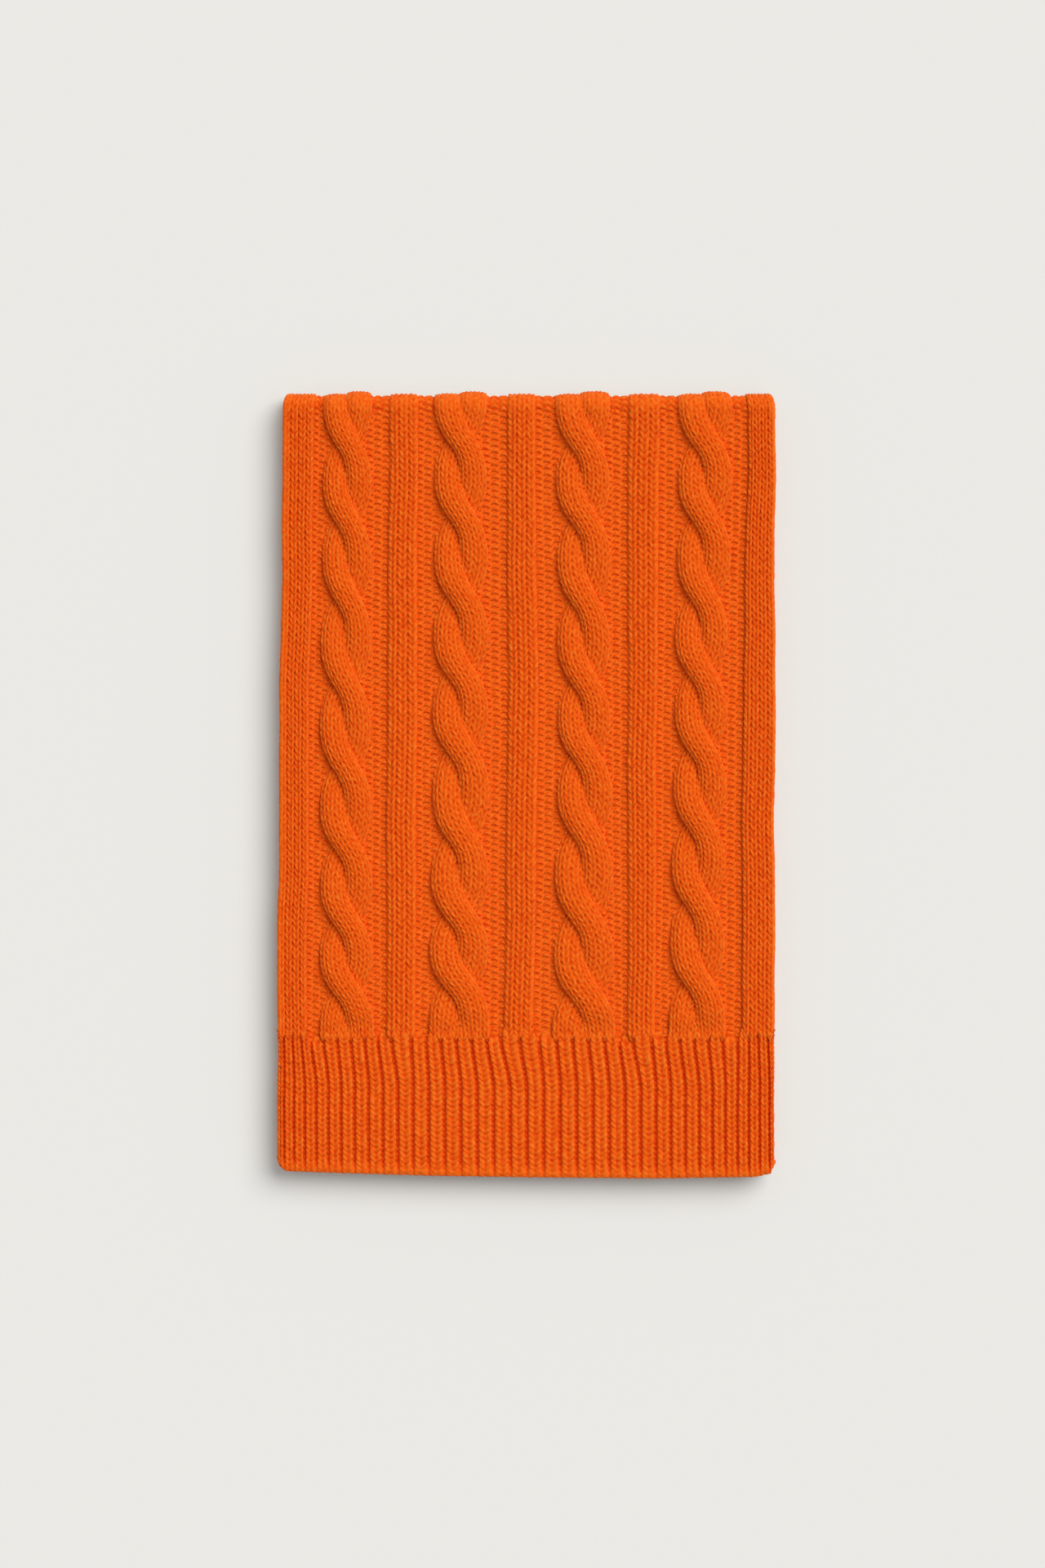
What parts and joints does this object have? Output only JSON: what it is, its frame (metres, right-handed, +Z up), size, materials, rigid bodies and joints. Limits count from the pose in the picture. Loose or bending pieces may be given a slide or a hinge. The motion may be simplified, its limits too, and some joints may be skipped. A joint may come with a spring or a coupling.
{
  "type": "folded knit scarf",
  "caption": "Chunky orange scarf in cable knit with ribbed ends, folded in half twice and lying flat, rib end on top.",
  "frame": {"origin": "middle of the underside, on the surface that the folded scarf lies on", "axes": "+X across the scarf from selvedge to selvedge, +Y along the wales towards the folded end, +Z up out of the cabled face"},
  "size_m": [0.3054, 0.4835, 0.0218],
  "materials": {
    "wool_knit": "matte knitted wool, slightly fuzzy"
  },
  "bodies": {
    "root": {"cable_panel": "wool_knit", "rib_end": "wool_knit", "folded_layers": "wool_knit"}
  },
  "joints": []
}
